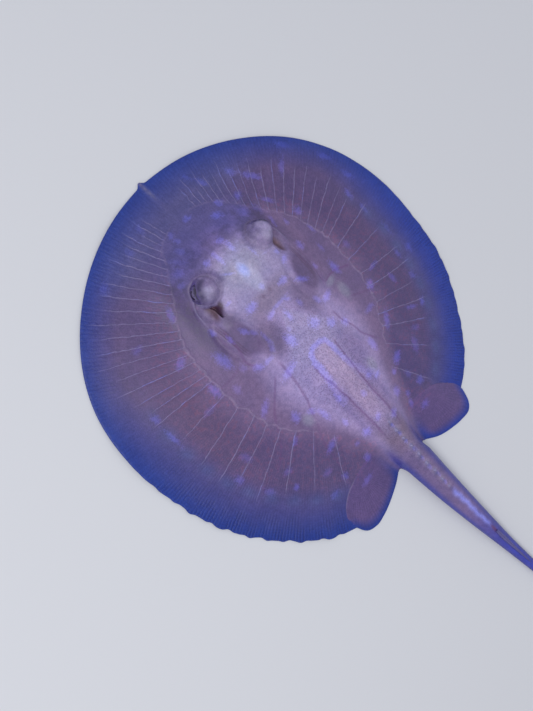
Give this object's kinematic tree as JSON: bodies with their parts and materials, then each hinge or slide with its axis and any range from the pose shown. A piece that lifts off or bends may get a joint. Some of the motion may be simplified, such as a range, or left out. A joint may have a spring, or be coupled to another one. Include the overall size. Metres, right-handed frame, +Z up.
{
  "type": "freshwater stingray, life-size still model",
  "caption": "Pale freshwater stingray lying flat on its belly, with a nearly round disc, raised eyes, rounded pelvic fins and a tapering tail with a barbed spine.",
  "frame": {"origin": "on the flat of the belly, on the midline under the shoulders", "axes": "+Z up off the floor, the head faces -Y, +X is the animal's left"},
  "size_m": [0.3012, 0.57, 0.036],
  "materials": {
    "skin": "moist mauve-grey skin, paler along the middle, slate-blue at the fins' margins, with lilac blotches, pale canals and reddish vessels",
    "eye": "clear glossy eye with a pale mauve iris and a dark pupil",
    "sting": "pale horn, smooth, with small barbs"
  },
  "bodies": {
    "root": {"head": "skin", "trunk": "skin", "pectoral_fin_left": "skin", "pectoral_fin_right": "skin", "pelvic_fin_left": "skin", "pelvic_fin_right": "skin", "tail_base": "skin", "tail_middle": "skin", "tail_tip": "skin", "eye_left": "eye", "eye_right": "eye", "sting": "sting"}
  },
  "joints": []
}
